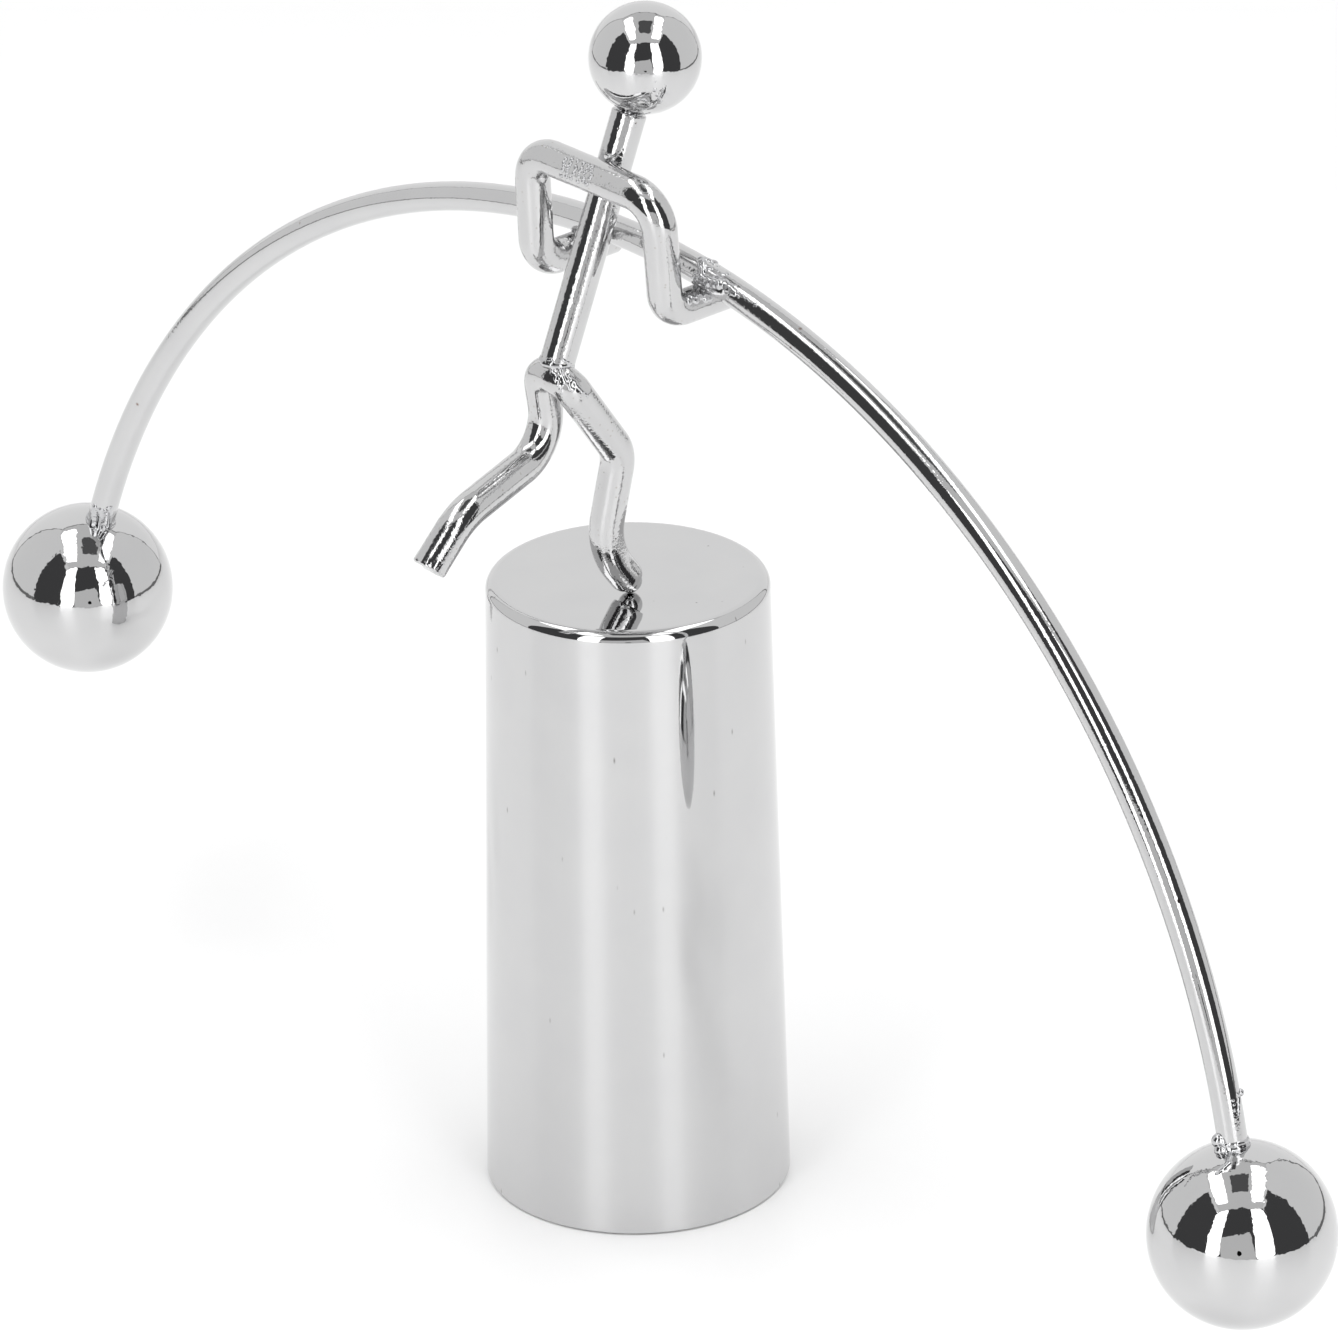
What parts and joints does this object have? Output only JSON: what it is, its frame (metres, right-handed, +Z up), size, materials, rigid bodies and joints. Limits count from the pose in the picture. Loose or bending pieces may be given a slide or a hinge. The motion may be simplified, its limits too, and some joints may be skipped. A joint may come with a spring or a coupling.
{
  "type": "counterweight balancing toy",
  "caption": "Chromed wire figure that stands on one toe on a tapered stand and carries an arched bar with a ball at each end, so that it rocks and spins and comes back to balance.",
  "frame": {"origin": "on the table under the middle of the stand, on the foot pad's lower face", "axes": "+X along the bar to the figure's right, +Y the way the figure faces, +Z up"},
  "size_m": [0.1816, 0.0431, 0.1239],
  "materials": {
    "stand_chrome": "polished chrome plating",
    "chrome": "polished chrome plating on steel",
    "ballast": "rough casting",
    "plate": "moulded",
    "pad": "foam rubber"
  },
  "bodies": {
    "stand": {"pedestal_shell": "stand_chrome", "ballast_slug": "ballast", "base_plate": "plate", "foot_pad": "pad"},
    "toe_ball": {"toe_point": "chrome"},
    "toe_cup": {"toe_weld": "chrome"},
    "figure": {"leg_rod": "chrome", "hip_weld": "chrome", "torso_rod": "chrome", "head_ball": "chrome", "neck_weld": "chrome", "arm_rod": "chrome", "shoulder_weld": "chrome", "balance_bar": "chrome", "left_hand_weld": "chrome", "right_hand_weld": "chrome", "left_ball": "chrome", "right_ball": "chrome", "left_ball_weld": "chrome", "right_ball_weld": "chrome"}
  },
  "joints": [
    {"name": "toe_spin", "type": "hinge", "parent": "stand", "child": "toe_ball", "pos_m": [0.003, -0.0025, 0.06495], "axis": [0, 0, 1], "continuous": true},
    {"name": "toe_nod", "type": "hinge", "parent": "toe_ball", "child": "toe_cup", "pos_m": [0.003, -0.0025, 0.06495], "axis": [1, 0, 0], "range_deg": [-20, 20]},
    {"name": "toe_rock", "type": "hinge", "parent": "toe_cup", "child": "figure", "pos_m": [0.003, -0.0025, 0.06495], "axis": [0, 1, 0], "range_deg": [-21, 11]}
  ]
}
